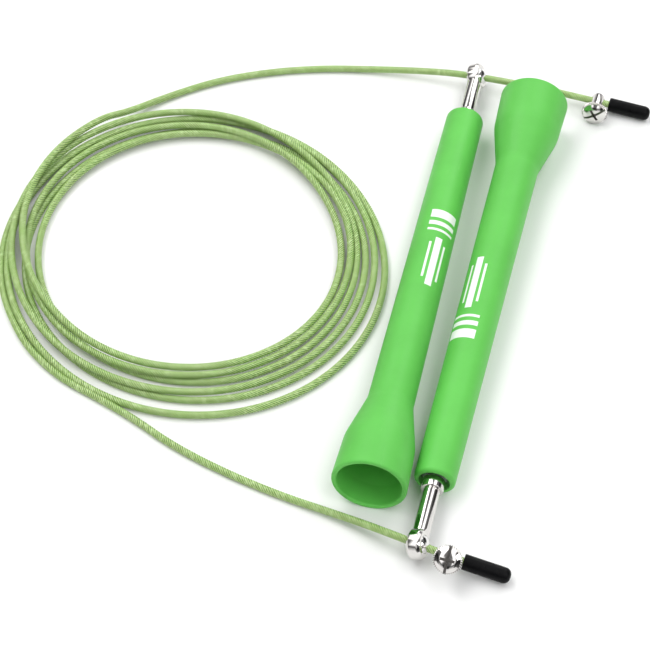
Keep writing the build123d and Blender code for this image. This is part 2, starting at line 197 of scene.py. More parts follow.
# Coil: distance of each turn from the coil's centre at 45, 135, 225 and 315 degrees.  The first
# turn starts at 135 degrees and the last ends at 225.
COIL_CENTRE = (-90.4, -1.0)
COIL_START_ANGLE = 135.0
COIL_TURNS = (
    (68.5, 54.2, 51.5),
    (50.6, 60.7, 55.9, 53.6),
    (53.6, 56.2, 53.4, 56.5),
    (55.9, 66.1, 61.0, 60.5),
    (57.5, 58.3, 59.0, 64.1),
    (60.3, 63.6, 65.0, 69.8),
    (62.4, 65.4, 67.0),
)
COIL_POINTS_PER_TURN = 24
SETTLE_STEPS = 24             # fine steps in a quarter turn while the turns settle on each other
SETTLE_ROUNDS = 7
SETTLE_APART = 1.03           # distance that the turns keep, in diameters
SETTLE_SLACK = 0.05           # the later rounds let a turn sink by this, in millimetres
SETTLE_SOFTEN = 11            # fine steps that a height is averaged over, each way, between rounds
SETTLE_FINISH = 8             # the same, after the last round

COLUMNS = 4                   # columns of vertices over one wire of the cable
CREST_SHARPNESS = 1.8         # a higher power makes the wires' crests narrower

# Tails of the cable: X, Y and lift off the floor, from the coil up to each handle.
TAIL_A = (
    (-132.0, 56.2, 1.65),
    (-121.0, 68.4, 0.05),
    (-105.5, 80.7, 0),
    (-88.0, 89.6, 0),
    (-70.0, 95.9, 0),
    (-52.0, 99.6, 0.25),
    (-36.0, 101.0, 1.95),
)
TAIL_B = (
    (-129.5, -56.0, 0.1),
    (-118.0, -63.0, 0.05),
    (-104.0, -67.6, 0.05),
    (-90.0, -73.0, 0),
    (-76.0, -79.8, 0),
    (-58.0, -85.7, 0),
    (-38.0, -90.3, 0),
    (-21.0, -93.2, 0.85),
    (-9.5, -96.2, 2.95),
)
# From the middle of each swivel ball on; the last point is what the end cap aims at.
FREE_END_A = (
    (-8.0, 0.05, -0.1),
    (8.0, -0.05, 0.1),
    (22.0, 0.45, -0.75),
    (36.0, 0.3, -1.7),
    (47.65, -0.08, -2.44),
    (62.5, -0.93, -3.14),
)
FREE_END_B = (
    (-7.39, 1.02, 0.71),
    (13.41, -1.86, -1.28),
    (29.4, -2.96, -3.2),
)
CAP_AFTER_CORNER = 1.2
CAP_GRIP = 9.0

CAMERA_EYE = (62.25, -442.3, 546.8)
CAMERA_AIM = (-40.4, -20.0, 0)
LIGHT_AIM = (-0.03, 0, 0)
# Name, place and side in metres, power in watts, and colour.
LIGHTS = (
    ("key_light", (-0.50, 0.20, 1.0), 0.80, 4.5, (1, 0.995, 0.98)),
    ("fill_light", (0.85, -0.35, 0.75), 0.45, 2.4, (0.98, 0.99, 1)),
    ("back_light", (0.15, 1.0, 0.6), 0.50, 2.6, (1, 1, 1)),
)
FLOOR_DROP = 0.02             # millimetres from the rope down to the floor, so no faces coincide
# Brightness of the room by height: 0 is level and below, and 1 is straight up.
ROOM_GREYS = ((0.0, 0.50), (0.09, 0.01), (0.38, 0.015), (0.56, 0.80), (0.80, 0.90))
ROOM_BLUE = 1.01
STRIP_SCALE = 0.4             # the strips are the crests of a wave across the room
STRIP_PHASE = 0.6
STRIP_DIM = 0.22
STRIP_BRIGHT = 2.15
STRIP_EDGE = (0.40, 0.62)     # where a strip starts and has its full brightness


# ------------------------------------------------------------------ sizes and colours
class HandleLook(bpy.types.PropertyGroup):
    colour: bpy.props.FloatVectorProperty(
        name="Handle colour", description="Colour of the moulded handles",
        default=(0.126, 0.54, 0.088), min=0, max=1, subtype="COLOR")
    mark_colour: bpy.props.FloatVectorProperty(
        name="Mark colour", description="Colour of the printed marks",
        default=(0.9, 0.92, 0.9), min=0, max=1, subtype="COLOR")
    segments: bpy.props.IntProperty(
        name="Segments", description="Flat sides round a handle", default=128, min=24)
    grain: bpy.props.FloatProperty(
        name="Grain", description="Depth of the moulded grain", default=0.02 * MM,
        min=0, unit="LENGTH")


class CableLook(bpy.types.PropertyGroup):
    diameter: bpy.props.FloatProperty(
        name="Diameter", description="Diameter over the coating", default=2.5 * MM,
        min=0.5 * MM, unit="LENGTH")
    strands: bpy.props.IntProperty(
        name="Strands", description="Twisted wires that show in the coating", default=8, min=3)
    lay_length: bpy.props.FloatProperty(
        name="Lay length", description="Length in which a wire goes once round",
        default=7.6 * MM, min=2 * MM, unit="LENGTH")
    strand_height: bpy.props.FloatProperty(
        name="Strand height", description="How far the wires stand out under the coating",
        default=0.16 * MM, min=0, unit="LENGTH")
    step: bpy.props.FloatProperty(
        name="Step", description="Distance between the cable's rings of vertices",
        default=0.6 * MM, min=0.1 * MM, unit="LENGTH")
    # Pale olive of the coat over a wire, brightened to a painted highlight on the wires' crests.
    colour: bpy.props.FloatVectorProperty(
        name="Coating colour", description="Colour of the coating over a wire",
        default=(0.60, 0.69, 0.31), min=0, max=1, subtype="COLOR")
    # Near-black green: painted shade in the grooves between the wires.
    groove_shade_colour: bpy.props.FloatVectorProperty(
        name="Groove colour", description="Colour of the coating between the wires",
        default=(0.022, 0.095, 0.006), min=0, max=1, subtype="COLOR")


class FittingLook(bpy.types.PropertyGroup):
    plate_colour: bpy.props.FloatVectorProperty(
        name="Plate colour", description="Colour of the nickel plate",
        default=(0.72, 0.70, 0.68), min=0, max=1, subtype="COLOR")
    cap_colour: bpy.props.FloatVectorProperty(
        name="Cap colour", description="Colour of the end caps",
        default=(0.0025, 0.0025, 0.003), min=0, max=1, subtype="COLOR")
    eye_twist: bpy.props.FloatVectorProperty(
        name="Eye twist", description="Angle from level of the bore of eye a and of eye b",
        default=(math.radians(24), math.radians(-20)), size=2, subtype="EULER")
    teeth: bpy.props.IntProperty(
        name="Teeth", description="Teeth of a clamp screw's knurled rim", default=42, min=8)


class StageLook(bpy.types.PropertyGroup):
    floor_size: bpy.props.FloatProperty(
        name="Floor size", description="Side of the floor", default=6.0, min=1, unit="LENGTH")
    floor_colour: bpy.props.FloatVectorProperty(
        name="Floor colour", description="Colour of the floor",
        default=(0.9, 0.9, 0.9), min=0, max=1, subtype="COLOR")
    lens: bpy.props.FloatProperty(
        name="Lens", description="Focal length of the camera, in millimetres", default=116.2, min=10)


# ------------------------------------------------------------------ places
def place(origin, along, across):
    """Matrix whose Z runs along and whose X is as near across as it can be."""
    along = Vector(along).normalized()
    side = along.cross(Vector(across)).normalized()
    across = side.cross(along)
    return Matrix.Translation(origin) @ Matrix((across, side, along)).transposed().to_4x4()


def handle_place(tag):
    """Narrow end of a handle, Z towards its mouth and X level."""
    joint = JOINTS[f"spin_{tag}"]
    along = Vector(joint["axis"])
    return place(joint["pos_m"], along, Vector((0, 0, 1)).cross(along))


def swing_place(tag):
    """Middle of a swivel ball, Z along the cable."""
    joint = JOINTS[f"swing_{tag}"]
    return place(joint["pos_m"], joint["axis"], (0, 0, 1))


def eye_place(tag, twist):
    """Middle of a swivel ball, Z along the eye's bore and X towards the handle."""
    handle = handle_place(tag).to_3x3()
    bore = handle.col[0] * math.cos(twist) + handle.col[1] * math.sin(twist)
    return place(JOINTS[f"swing_{tag}"]["pos_m"], bore, handle.col[2])


def clamp_place(tag):
    """Middle of a clamp, Z out of the screw's head and X along the cable."""
    joint = JOINTS[f"screw_turn_{tag}"]
    return place(joint["pos_m"], joint["axis"], JOINTS[f"clamp_slide_{tag}"]["axis"])


# ------------------------------------------------------------------ meshes
def rounded(corners, steps):
    """Profile points, with an arc in place of each corner that has a rounding."""
    points = []
    count = len(corners)
    for index, (radius, along, rounding) in enumerate(corners):
        here = Vector((radius, along))
        if not rounding or index in (0, count - 1):
            points.append(here)
            continue
        to_last = (Vector(corners[index - 1][:2]) - here).normalized()
        to_next = (Vector(corners[index + 1][:2]) - here).normalized()
        half = to_last.angle(to_next) / 2
        reach = rounding / math.tan(half)
        centre = here + (to_last + to_next).normalized() * (rounding / math.sin(half))
        start, end = here + to_last * reach - centre, here + to_next * reach - centre
        turn = start.angle_signed(end)
        for step in range(steps + 1):
            points.append(centre + Matrix.Rotation(-turn * step / steps, 2) @ start)
    return points


def outline_points(outline, steps):
    """An outline's profile as plain pairs, with its roundings cut into steps."""
    return [tuple(point) for point in rounded(outline, steps)]


def finish_mesh(name, mesh, matrix, body, material, sharp):
    """Put a mesh at its place, smooth it up to sharp degrees, and let it ride on its body."""
    mesh.transform(matrix)
    mesh.polygons.foreach_set("use_smooth", [True] * len(mesh.polygons))
    mesh.set_sharp_from_angle(angle=math.radians(sharp))
    mesh.materials.clear()
    mesh.materials.append(material)
    piece = bpy.data.objects.new(name, mesh)
    bpy.context.scene.collection.objects.link(piece)
    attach(piece, body)
    return piece


def lathe_mesh(profile, segments, closed=False, shape=None):
    """Turn profile points (radius, along), in millimetres, about Z.

    shape(radius, along, angle) may give another radius.  Points on the axis become one vertex.
    """
    work = bmesh.new()
    rings = []
    for radius, along in profile:
        if radius < 1e-6:
            rings.append([work.verts.new((0, 0, along * MM))] * segments)
            continue
        ring = []
        for step in range(segments):
            angle = 2 * math.pi * step / segments
            reach = (shape(radius, along, angle) if shape else radius) * MM
            ring.append(work.verts.new((reach * math.cos(angle), reach * math.sin(angle), along * MM)))
        rings.append(ring)
    pairs = list(zip(rings, rings[1:]))
    if closed:
        pairs.append((rings[-1], rings[0]))
    for lower, upper in pairs:
        for step in range(segments):
            after = (step + 1) % segments
            corners = [lower[step], lower[after], upper[after], upper[step]]
            face = list(dict.fromkeys(corners))
            if len(face) > 2:
                work.faces.new(face)
    bmesh.ops.recalc_face_normals(work, faces=work.faces)
    mesh = bpy.data.meshes.new("turned")
    work.to_mesh(mesh)
    work.free()
    return mesh


def box_mesh(size, centre=(0, 0, 0), turn=None):
    """Box used as a cutter, in millimetres."""
    work = bmesh.new()
    matrix = Matrix.Translation(Vector(centre) * MM) @ (turn or Matrix.Identity(4))
    matrix = matrix @ Matrix.Diagonal((size[0] * MM, size[1] * MM, size[2] * MM, 1))
    bmesh.ops.create_cube(work, size=1, matrix=matrix)
    mesh = bpy.data.meshes.new("cutter")
    work.to_mesh(mesh)
    work.free()
    return mesh


def combine(mesh, cutters, operation="DIFFERENCE"):
    """Apply exact booleans of plain meshes that share one place."""
    base = bpy.data.objects.new("work", mesh)
    bpy.context.scene.collection.objects.link(base)
    helpers = []
    for cutter in cutters:
        helper = bpy.data.objects.new("helper", cutter)
        bpy.context.scene.collection.objects.link(helper)
        modifier = base.modifiers.new("cut", "BOOLEAN")
        modifier.operation = operation
        modifier.solver = "EXACT"
        modifier.object = helper
        helpers.append(helper)
    bpy.context.view_layer.update()
    result = bpy.data.meshes.new_from_object(base.evaluated_get(bpy.context.evaluated_depsgraph_get()))
    for helper in helpers + [base]:
        bpy.data.objects.remove(helper)
    return result


# ------------------------------------------------------------------ materials
def make_node(tree, kind, **inputs):
    """Add a node; names of inputs are the socket's, with _ for a space."""
    node = tree.nodes.new(kind)
    for name, value in inputs.items():
        node.inputs[name.replace("_", " ")].default_value = value
    return node


def new_surface(name, roughness, **inputs):
    """Material with a Principled shader; returns it with its tree, shader and coordinates."""
    material = bpy.data.materials.new(name)
    material.use_nodes = True
    tree = material.node_tree
    shader = tree.nodes["Principled BSDF"]
    shader.inputs["Roughness"].default_value = roughness
    for socket, value in inputs.items():
        shader.inputs[socket.replace("_", " ")].default_value = value
    coordinates = tree.nodes.new("ShaderNodeTexCoord")
    return material, tree, shader, coordinates


def noise(tree, coordinates, scale, detail=3.0, rough=0.55, stretch=None):
    """Noise in the object's own space; scale is in bumps per metre."""
    texture = make_node(tree, "ShaderNodeTexNoise", Scale=scale, Detail=detail, Roughness=rough)
    vector = coordinates.outputs["Object"]
    if stretch:
        mapping = tree.nodes.new("ShaderNodeMapping")
        mapping.inputs["Scale"].default_value = stretch
        tree.links.new(vector, mapping.inputs["Vector"])
        vector = mapping.outputs["Vector"]
    tree.links.new(vector, texture.inputs["Vector"])
    return texture.outputs["Fac"]


def spread(tree, value, low, high, start=0.0, end=1.0):
    """Map a value from start..end to low..high, clamped."""
    node = make_node(tree, "ShaderNodeMapRange", From_Min=start, From_Max=end, To_Min=low, To_Max=high)
    tree.links.new(value, node.inputs["Value"])
    return node.outputs["Result"]


def blend_colours(tree, factor, first, second):
    """Mix of two colours; each is a tuple or a socket."""
    node = tree.nodes.new("ShaderNodeMix")
    node.data_type = "RGBA"
    tree.links.new(factor, node.inputs["Factor"])
    for socket, colour in ((node.inputs[6], first), (node.inputs[7], second)):
        if isinstance(colour, bpy.types.NodeSocket):
            tree.links.new(colour, socket)
        else:
            socket.default_value = (*colour, 1)
    return node.outputs[2]


def add_bump(tree, shader, height, distance, strength=1.0, under=None):
    """Bump from a height; distance is in metres."""
    node = make_node(tree, "ShaderNodeBump", Strength=strength, Distance=distance)
    tree.links.new(height, node.inputs["Height"])
    if under:
        tree.links.new(under, node.inputs["Normal"])
    tree.links.new(node.outputs["Normal"], shader.inputs["Normal"])
    return node.outputs["Normal"]


def shade(colour, amount):
    return tuple(channel * amount for channel in colour)


def handle_plastic(look):
    """Satin moulded plastic with a fine grain and faint handling marks."""
    base = tuple(look.colour)
    material, tree, shader, where = new_surface("handle_green_plastic", 0.46, Specular_IOR_Level=0.3)
    cloud = noise(tree, where, 60, 4)
    colour = blend_colours(tree, spread(tree, cloud, 0, 1, 0.3, 0.7), shade(base, 0.94), shade(base, 1.05))
    scuffs = spread(tree, noise(tree, where, 420, 6, 0.7, (1, 0.18, 1)), 0, 0.12, 0.62, 0.75)
    colour = blend_colours(tree, scuffs, colour, (0.34, 0.70, 0.28))
    tree.links.new(colour, shader.inputs["Base Color"])
    tree.links.new(spread(tree, noise(tree, where, 150, 3), 0.42, 0.54, 0.3, 0.7), shader.inputs["Roughness"])
    add_bump(tree, shader, noise(tree, where, 5200, 2), look.grain, 0.35)
    return material


def printed_ink(look):
    """White ink, a little uneven and worn."""
    material, tree, shader, where = new_surface("printed_white_ink", 0.5)
    wear = spread(tree, noise(tree, where, 900, 5, 0.65), 0, 0.35, 0.58, 0.72)
    colour = blend_colours(tree, wear, tuple(look.mark_colour), (0.55, 0.83, 0.5))
    tree.links.new(colour, shader.inputs["Base Color"])
    add_bump(tree, shader, noise(tree, where, 4000, 2), 0.01 * MM, 0.4)
    return material


def cable_coating(look):
    """Green coat over twisted wire, pale olive over a wire and brightened there to a painted highlight, with
    painted shade between the wires.

    The mesh holds two values: "strand" is the height of the crest and "wire" is a random value for each wire
    in each ring, which lightens some of them to painted glints.
    """
    material, tree, shader, where = new_surface(
        "cable_green_coat", 0.34, Coat_Weight=0.5, Coat_Roughness=0.14, Coat_Tint=(0.68, 0.94, 0.55, 1),
        Specular_IOR_Level=0.5)
    strand = tree.nodes.new("ShaderNodeAttribute")
    strand.attribute_name = "strand"
    # Blends from painted shade in the grooves to the painted highlight on the crests, by the crest's height.
    crest = spread(tree, strand.outputs["Fac"], 0, 1, 0.1, 0.85)
    colour = blend_colours(tree, crest, tuple(look.groove_shade_colour), tuple(look.colour))
    wire = tree.nodes.new("ShaderNodeAttribute")
    wire.attribute_name = "wire"
    # Painted glints: where a wire's random value is high, the colour goes towards a near-white green.
    pale = spread(tree, wire.outputs["Fac"], 0, 0.5, 0.5, 1)
    colour = blend_colours(tree, pale, colour, (0.85, 0.92, 0.60))
    cloud = spread(tree, noise(tree, where, 140, 3), 0, 0.35, 0.35, 0.75)
    colour = blend_colours(tree, cloud, colour, (0.30, 0.50, 0.12))
    tree.links.new(colour, shader.inputs["Base Color"])
    tree.links.new(spread(tree, noise(tree, where, 500, 3), 0.26, 0.44, 0.3, 0.7), shader.inputs["Roughness"])
    add_bump(tree, shader, noise(tree, where, 3000, 3), 0.015 * MM, 0.5)
    return material


def metal(name, colour, rough_low, rough_high, scratches, dents=0.0):
    """Plated or ground metal with fine scratches and an uneven shine."""
    material, tree, shader, where = new_surface(name, rough_low, Metallic=1.0)
    cloud = noise(tree, where, 320, 4)
    tint = blend_colours(tree, spread(tree, cloud, 0, 1, 0.3, 0.7), shade(colour, 0.93), shade(colour, 1.03))
    tree.links.new(tint, shader.inputs["Base Color"])
    tree.links.new(
        spread(tree, noise(tree, where, 900, 5, 0.7), rough_low, rough_high, 0.35, 0.7),
        shader.inputs["Roughness"])
    lines = noise(tree, where, 2600, 4, 0.6, (1, 6, 1))
    under = add_bump(tree, shader, lines, scratches, 0.4)
    if dents:
        add_bump(tree, shader, noise(tree, where, 260, 2), dents, 0.5, under)
    return material


def black_rubber(look):
    """Soft black plastic of the end caps, slightly creased and dusty."""
    base = tuple(look.cap_colour)
    material, tree, shader, where = new_surface("end_cap_black", 0.34, Specular_IOR_Level=0.1)
    dust = spread(tree, noise(tree, where, 900, 6, 0.75), 0, 0.5, 0.6, 0.8)
    colour = blend_colours(tree, dust, base, (0.02, 0.02, 0.021))
    tree.links.new(colour, shader.inputs["Base Color"])
    tree.links.new(spread(tree, noise(tree, where, 700, 3), 0.26, 0.5, 0.3, 0.7), shader.inputs["Roughness"])
    add_bump(tree, shader, noise(tree, where, 700, 4, 0.6), 0.12 * MM, 0.5)
    return material


def moulded_nylon():
    """Pale nylon of the bearing cages."""
    material, tree, shader, where = new_surface("cage_nylon", 0.5)
    colour = blend_colours(tree, noise(tree, where, 600, 3), (0.70, 0.65, 0.52), (0.82, 0.78, 0.66))
    tree.links.new(colour, shader.inputs["Base Color"])
    add_bump(tree, shader, noise(tree, where, 4000, 2), 0.01 * MM, 0.4)
    return material


def floor_paper(look):
    """White paper sweep."""
    material, tree, shader, where = new_surface("floor_paper", 0.7, Specular_IOR_Level=0.2)
    base = tuple(look.floor_colour)
    colour = blend_colours(tree, noise(tree, where, 3, 2), shade(base, 0.995), base)
    tree.links.new(colour, shader.inputs["Base Color"])
    return material


def plate_metal(scene):
    """Nickel plate of the stems, clamps and screws, made once."""
    made = bpy.data.materials.get("nickel_plate")
    colour = tuple(scene.rope_fittings.plate_colour)
    return made or metal("nickel_plate", colour, 0.05, 0.12, scratches=0.004 * MM, dents=0.02 * MM)


# ------------------------------------------------------------------ cable route
def coil_radius(quarter):
    """Distance from the coil's centre after a number of quarter turns."""
    radii = [radius for turn in COIL_TURNS for radius in turn]
    last = len(radii) - 1
    step = min(int(quarter), last - 1)
    part = quarter - step
    before, here, there, beyond = (radii[max(0, min(last, step + shift))] for shift in (-1, 0, 1, 2))
    slope_here, slope_there = (there - before) / 2, (beyond - here) / 2
    rise = there - here
    return (here + slope_here * part
            + (3 * rise - 2 * slope_here - slope_there) * part ** 2
            + (slope_here + slope_there - 2 * rise) * part ** 3)


def smooth_line(values, width):
    """Moving average with soft ends."""
    weights = np.hanning(2 * width + 1)
    padded = np.pad(values, width, mode="edge")
    return np.convolve(padded, weights / weights.sum(), "valid")


def coil_points(diameter):
    """Points of the coil, in millimetres.  The last turn lies on the floor and the first on top."""
    quarters = sum(len(turn) for turn in COIL_TURNS) - 1
    stations = np.linspace(0, quarters, quarters * SETTLE_STEPS + 1)
    angles = np.radians(COIL_START_ANGLE + 90 * stations)
    radii = np.array([coil_radius(station) for station in stations])
    plan = np.stack([COIL_CENTRE[0] + radii * np.cos(angles), COIL_CENTRE[1] + radii * np.sin(angles)], 1)
    rest = diameter / 2
    apart = diameter * SETTLE_APART
    lag = 3 * SETTLE_STEPS
    heights = np.full(len(plan), rest)
    for number in range(SETTLE_ROUNDS):
        if number:
            heights = smooth_line(heights, SETTLE_SOFTEN)
        for index in range(len(plan) - 1, -1, -1):
            under = plan[index + lag:]
            if not len(under):
                continue
            gaps = ((under - plan[index]) ** 2).sum(1)
            near = gaps < apart * apart
            if near.any():
                lift = heights[index + lag:][near] + np.sqrt(apart * apart - gaps[near])
                heights[index] = max(heights[index], lift.max() - (SETTLE_SLACK if number else 0))
    heights = np.maximum(smooth_line(heights, SETTLE_FINISH), rest)
    keep = range(0, len(plan), 4 * SETTLE_STEPS // COIL_POINTS_PER_TURN)
    return [(plan[index][0], plan[index][1], heights[index]) for index in keep]


def free_end(tag, offsets):
    """Points of a free end, from the swivel ball to the cut end inside the cap, in millimetres."""
    ball = Vector(JOINTS[f"swing_{tag}"]["pos_m"]) / MM
    points = [ball + Vector(offset) for offset in offsets]
    corner = points[-2]
    aim = (points[-1] - corner).normalized()
    points[-1] = corner + aim * (CAP_AFTER_CORNER + CAP_GRIP)
    return points


def cable_route(diameter):
    """Every point of the cable, from the cut end of side a to the cut end of side b, in metres."""
    rest = diameter / MM / 2
    tail_a = [(x, y, rest + lift) for x, y, lift in TAIL_A]
    tail_b = [(x, y, rest + lift) for x, y, lift in TAIL_B]
    side_a = tail_a + free_end("a", FREE_END_A)
    side_b = tail_b + free_end("b", FREE_END_B)
    return [Vector(point) * MM for point in list(reversed(side_a)) + coil_points(diameter / MM) + side_b]


def read_spline(route, step):
    """Lay a smooth spline along the route and read evenly spaced points from it."""
    curve = bpy.data.curves.new("cable_route", "CURVE")
    curve.dimensions = "3D"
    spline = curve.splines.new("NURBS")
    spline.points.add(len(route) - 1)
    for point, target in zip(spline.points, route):
        point.co = (*target, 1)
    spline.order_u = 3
    spline.use_endpoint_u = True
    spline.resolution_u = 24
    holder = bpy.data.objects.new("cable_route", curve)
    bpy.context.scene.collection.objects.link(holder)
    bpy.context.view_layer.update()
    line = bpy.data.meshes.new_from_object(holder.evaluated_get(bpy.context.evaluated_depsgraph_get()))
    points = np.empty(len(line.vertices) * 3)
    line.vertices.foreach_get("co", points)
    points = points.reshape(-1, 3)
    bpy.data.objects.remove(holder)
    bpy.data.meshes.remove(line)
    along = np.concatenate([[0], np.cumsum(np.linalg.norm(np.diff(points, axis=0), axis=1))])
    stations = np.linspace(0, along[-1], int(along[-1] / step) + 1)
    return np.stack([np.interp(stations, along, points[:, axis]) for axis in range(3)], 1), along[-1]


def carried_frames(points):
    """Tangents, and two directions across the line that never twist about it."""
    tangents = np.gradient(points, axis=0)
    tangents /= np.linalg.norm(tangents, axis=1)[:, None]
    across = np.empty_like(points)
    across[0] = np.cross(tangents[0], (0, 0, 1))
    across[0] /= np.linalg.norm(across[0])
    for index in range(1, len(points)):
        carried = across[index - 1] - tangents[index] * np.dot(across[index - 1], tangents[index])
        across[index] = carried / np.linalg.norm(carried)
    return tangents, across, np.cross(tangents, across)


# ------------------------------------------------------------------ operators
class ROPE_OT_cable(bpy.types.Operator):
    """Lay the coated cable: both tails and the loose coil, with the wires' twist in its surface"""

    bl_idname = "rope.cable"
    bl_label = "Cable"

    def execute(self, context):
        look = context.scene.rope_cable
        points, length = read_spline(cable_route(look.diameter), look.step)
        _, across, beside = carried_frames(points)
        sides = look.strands * COLUMNS
        twist = 2 * np.pi * np.arange(len(points)) * (length / (len(points) - 1)) / look.lay_length
        around = 2 * np.pi * np.arange(sides) / sides
        crest = np.sin(np.pi * (np.arange(sides) % COLUMNS) / COLUMNS) ** CREST_SHARPNESS
        radius = look.diameter / 2 - look.strand_height * (1 - crest)
        angles = around[None, :] + twist[:, None]
        rings = (points[:, None, :]
                 + radius[None, :, None] * (np.cos(angles)[:, :, None] * across[:, None, :]
                                            + np.sin(angles)[:, :, None] * beside[:, None, :]))
        count = len(points)
        vertices = np.concatenate([rings.reshape(-1, 3), points[:1], points[-1:]])
        grid = np.arange(count * sides).reshape(count, sides)
        after = np.roll(grid, -1, axis=1)
        quads = np.stack([grid[:-1], after[:-1], after[1:], grid[1:]], 2).reshape(-1, 4)
        caps = [(count * sides, int(after[0, k]), int(grid[0, k])) for k in range(sides)]
        caps += [(count * sides + 1, int(grid[-1, k]), int(after[-1, k])) for k in range(sides)]
        mesh = bpy.data.meshes.new("cable")
        mesh.from_pydata(vertices.tolist(), [], quads.tolist() + caps)
        # Random values for the painted glints, one for each wire in each ring.
        glint_values = np.random.default_rng(4).random((count, look.strands)).repeat(COLUMNS, axis=1)
        for name, values in (("strand", np.tile(crest, count)), ("wire", glint_values)):
            layer = mesh.attributes.new(name, "FLOAT", "POINT")
            values = np.concatenate([values.reshape(-1), [0, 0]])
            layer.data.foreach_set("value", values.astype(np.float32))
        cable = finish_mesh("cable", mesh, Matrix.Identity(4), "rope", cable_coating(look), 60)
        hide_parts("cable_coil", "cable_tail_a", "cable_tail_b")
        print(f"cable spline {length:.4f} m, top of the coil {points[:, 2].max() / MM:.2f} mm")
        return {"FINISHED"}


def cap_start(tag):
    """Open end of an end cap."""
    points = free_end(tag, FREE_END_A if tag == "a" else FREE_END_B)
    aim = (points[-1] - points[-2]).normalized()
    return (points[-2] + aim * CAP_AFTER_CORNER) * MM


class ROPE_OT_handles(bpy.types.Operator):
    """Turn the two hollow handles and print plain marks on them"""

    bl_idname = "rope.handles"
    bl_label = "Handles"

    def execute(self, context):
        look = context.scene.rope_handles
        plastic = handle_plastic(look)
        ink = printed_ink(look)
        outside = rounded(HANDLE_OUTSIDE + HANDLE_INSIDE[:1], 14)[:-1]
        inside = rounded(HANDLE_OUTSIDE[-1:] + HANDLE_INSIDE, 14)[1:]
        profile = []
        for point in outside + inside:
            if profile and point.y - profile[-1].y > LONG_SIDE:
                start = profile[-1].copy()
                cuts = int((point.y - start.y) / SHORT_SIDE)
                profile += [start.lerp(point, cut / cuts) for cut in range(1, cuts)]
            profile.append(point)
        for tag in SIDES:
            matrix = handle_place(tag)
            mesh = lathe_mesh([tuple(point) for point in profile], look.segments, closed=True)
            shell = finish_mesh(f"grip_{tag}", mesh, matrix, f"handle_{tag}", plastic, 40)
            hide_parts(f"handle_{tag}")
            marks = finish_mesh(f"grip_marks_{tag}", mark_mesh(tag), matrix, f"handle_{tag}", ink, 40)
        return {"FINISHED"}


def grip_radius(along):
    """Outside radius of the slim part of a handle, in millimetres."""
    (narrow, _, _), (wide, end, _) = HANDLE_OUTSIDE[1:3]
    return narrow + (wide - narrow) * along / end


def film_layer(work, mark, middle, lift):
    """Rows of vertices of a mark, lifted off the handle's surface."""
    start, end, low, high = mark
    rows = []
    for row in range(MARK_ROWS + 1):
        along = start + (end - start) * row / MARK_ROWS
        radius = grip_radius(along)
        reach = (radius + lift) * MM
        line = []
        for column in range(MARK_COLUMNS + 1):
            angle = middle + (low + (high - low) * column / MARK_COLUMNS) / radius
            line.append(work.verts.new((reach * math.cos(angle), reach * math.sin(angle), along * MM)))
        rows.append(line)
    return rows


def mark_mesh(tag):
    """Thin raised film for every mark, curved over the handle."""
    work = bmesh.new()
    middle = math.radians(MARK_TURN[tag])
    for mark in MARKS:
        top, bottom = (film_layer(work, mark, middle, lift) for lift in MARK_LIFTS)
        for row in range(MARK_ROWS):
            for column in range(MARK_COLUMNS):
                work.faces.new((top[row][column], top[row][column + 1],
                                top[row + 1][column + 1], top[row + 1][column]))
                work.faces.new((bottom[row][column], bottom[row + 1][column],
                                bottom[row + 1][column + 1], bottom[row][column + 1]))
        for row in range(MARK_ROWS):
            for column in (0, MARK_COLUMNS):
                work.faces.new((top[row][column], top[row + 1][column],
                                bottom[row + 1][column], bottom[row][column]))
        for column in range(MARK_COLUMNS):
            for row in (0, MARK_ROWS):
                work.faces.new((top[row][column], top[row][column + 1],
                                bottom[row][column + 1], bottom[row][column]))
    bmesh.ops.recalc_face_normals(work, faces=work.faces)
    mesh = bpy.data.meshes.new("marks")
    work.to_mesh(mesh)
    work.free()
    return mesh


class ROPE_OT_stems(bpy.types.Operator):
    """Turn the plated stems with their eyes, and the swivel balls that the cable threads"""

    bl_idname = "rope.stems"
    bl_label = "Stems and swivel balls"

    def execute(self, context):
        look = context.scene.rope_fittings
        plate = plate_metal(context.scene)
        polished = metal("polished_ball", (0.82, 0.81, 0.80), 0.04, 0.10, scratches=0.003 * MM)
        seat = [(math.sqrt(SWIVEL_SEAT ** 2 - along ** 2), along)
                for along in np.linspace(EYE_HALF_THICKNESS, -EYE_HALF_THICKNESS, SEAT_RINGS)]
        for tag in SIDES:
            handle = handle_place(tag)
            to_eye = handle.inverted() @ eye_place(tag, look.eye_twist[SIDES.index(tag)])
            ring = lathe_mesh(outline_points(EYE_OUTLINE, 5)[1:-1] + seat, 96, closed=True)
            ring.transform(to_eye)
            shank = lathe_mesh(outline_points(STEM_OUTLINE, 5), 64)
            blank = combine(shank, [grinding_cutter(to_eye, side) for side in (-1, 1)])
            blank = combine(blank, [ring], "UNION")
            ball_room = lathe_mesh(ball_profile(SWIVEL_SEAT, 0.0), 64)
            ball_room.transform(to_eye)
            blank = combine(blank, [ball_room])
            stem = finish_mesh(f"stem_and_eye_{tag}", blank, handle, f"stem_{tag}", plate, 32)
            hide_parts(f"stem_{tag}")
            turned = lathe_mesh(ball_profile(SWIVEL_RADIUS, CABLE_HOLE), 96, closed=True)
            ball = finish_mesh(f"swivel_{tag}", turned, swing_place(tag), f"swivel_{tag}", polished, 40)
            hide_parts(f"swivel_ball_{tag}")
        return {"FINISHED"}


def grinding_cutter(to_eye, side):
    """Box that grinds one side of the shank down to the eye's thickness."""
    cutter = box_mesh(GRIND_SIZE, (0, 0, side * GRIND_SIZE[2] / 2))
    foot = Matrix.Translation((GRIND_FROM * MM, 0, side * EYE_HALF_THICKNESS * MM))
    slope = Matrix.Rotation(-side * GRIND_SLOPE, 4, "Y")
    cutter.transform(to_eye @ foot @ slope @ Matrix.Translation((GRIND_SHIFT * MM, 0, 0)))
    return cutter


